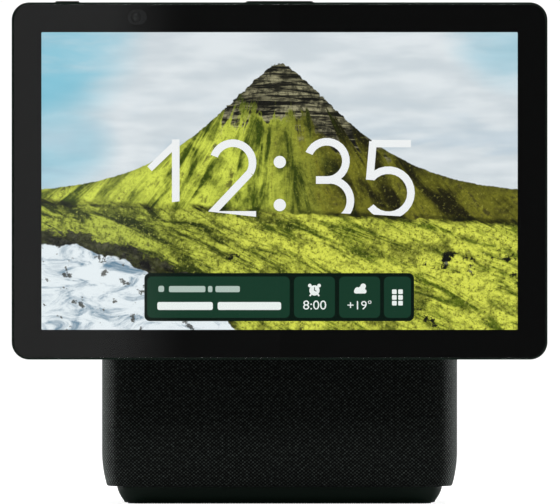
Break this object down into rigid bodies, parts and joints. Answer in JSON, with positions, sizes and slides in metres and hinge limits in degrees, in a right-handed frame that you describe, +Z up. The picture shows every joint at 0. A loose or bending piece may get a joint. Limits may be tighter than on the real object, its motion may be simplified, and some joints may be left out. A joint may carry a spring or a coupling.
{
  "type": "smart display",
  "caption": "Smart display with a tilting touch screen on a fabric-covered speaker base, with camera shutter, volume rocker and power socket.",
  "frame": {"origin": "on the table, under the middle of the whole body's bounding box", "axes": "+X to the viewer's right, +Y to the back (the screen faces -Y), +Z up"},
  "size_m": [0.244, 0.126, 0.23],
  "materials": {
    "fabric": "plain weave of dark green-black yarn, stretched over the base",
    "green_plastic": "satin dark green moulded plastic",
    "black_plastic": "matte black moulded plastic",
    "grey_plastic": "dark grey satin plastic",
    "rubber": "matte black rubber",
    "cover_glass": "clear polished cover glass",
    "black_ink": "black print behind the glass",
    "screen": "lit colour display",
    "steel": "plated steel",
    "dark_metal": "dark satin painted casting",
    "aluminium": "bare pressed aluminium",
    "circuit_board": "green solder mask",
    "cone_paper": "black coated paper and rubber",
    "ferrite": "dark ferrite",
    "lens_glass": "dark coated lens"
  },
  "bodies": {
    "base": {"fabric_sleeve": "fabric", "grille_shell": "black_plastic", "top_cap": "green_plastic", "base_chassis": "black_plastic", "foot_base": "green_plastic", "rubber_foot": "rubber", "foot_screw_1": "steel", "foot_screw_2": "steel", "foot_screw_3": "steel", "foot_screw_4": "steel", "enclosure_front": "black_plastic", "enclosure_back": "black_plastic", "woofer_basket": "black_plastic", "woofer_magnet": "ferrite", "driver_left_basket": "black_plastic", "driver_left_magnet": "ferrite", "driver_right_basket": "black_plastic", "driver_right_magnet": "ferrite", "radiator_left_frame": "black_plastic", "radiator_right_frame": "black_plastic", "amplifier_board": "circuit_board", "amplifier_heatsink": "aluminium", "power_socket": "black_plastic", "power_board": "circuit_board", "hinge_recess_liner": "black_plastic", "hinge_yoke": "aluminium", "yoke_screw_1": "steel", "yoke_screw_2": "steel", "hinge_pin": "steel", "hinge_nut": "steel", "friction_washer_left": "steel", "friction_washer_right": "steel"},
    "head": {"tilt_bracket": "dark_metal", "cover_glass": "cover_glass", "glass_border": "black_ink", "display_panel": "screen", "display_carrier_plate": "aluminium", "head_frame": "green_plastic", "head_rear_cover": "green_plastic", "bracket_screw_1": "steel", "bracket_screw_2": "steel", "main_board": "circuit_board", "heat_spreader": "aluminium", "microphone_board_left": "circuit_board", "microphone_board_right": "circuit_board", "camera_trim": "grey_plastic", "camera_housing": "black_plastic", "camera_lens": "lens_glass", "rocker_pivot": "steel", "rocker_bracket": "steel", "volume_switch_left": "steel", "volume_switch_right": "steel"},
    "shutter": {"shutter_blade": "black_plastic", "shutter_knob": "green_plastic"},
    "rocker": {"volume_rocker": "green_plastic"},
    "woofer": {"woofer_cone": "cone_paper"},
    "driver_left": {"driver_left_cone": "cone_paper"},
    "driver_right": {"driver_right_cone": "cone_paper"},
    "radiator_left": {"radiator_left_plate": "cone_paper"},
    "radiator_right": {"radiator_right_plate": "cone_paper"}
  },
  "joints": [
    {"name": "screen_tilt", "type": "hinge", "parent": "base", "child": "head", "pos_m": [0, -0.03898, 0.146], "axis": [-1, 0, 0], "range_deg": [-5, 25]},
    {"name": "shutter_slide", "type": "slide", "parent": "head", "child": "shutter", "axis": [1, 0, 0], "range_m": [0, 0.008]},
    {"name": "volume_rock", "type": "hinge", "parent": "head", "child": "rocker", "pos_m": [0, -0.05813, 0.22445], "axis": [0, 1, 0], "range_deg": [-2, 2], "stiffness_Nm_per_rad": 0.6},
    {"name": "woofer_travel", "type": "slide", "parent": "base", "child": "woofer", "axis": [0, 1, 0], "range_m": [-0.0025, 0.0025], "stiffness_N_per_m": 1000},
    {"name": "driver_left_travel", "type": "slide", "parent": "base", "child": "driver_left", "axis": [0, -1, 0], "range_m": [-0.0015, 0.0015], "stiffness_N_per_m": 1200},
    {"name": "driver_right_travel", "type": "slide", "parent": "base", "child": "driver_right", "axis": [0, -1, 0], "range_m": [-0.0015, 0.0015], "stiffness_N_per_m": 1200},
    {"name": "radiator_left_travel", "type": "slide", "parent": "base", "child": "radiator_left", "axis": [-1, 0, 0], "range_m": [-0.003, 0.003], "stiffness_N_per_m": 600},
    {"name": "radiator_right_travel", "type": "slide", "parent": "base", "child": "radiator_right", "axis": [1, 0, 0], "range_m": [-0.003, 0.003], "stiffness_N_per_m": 600}
  ]
}
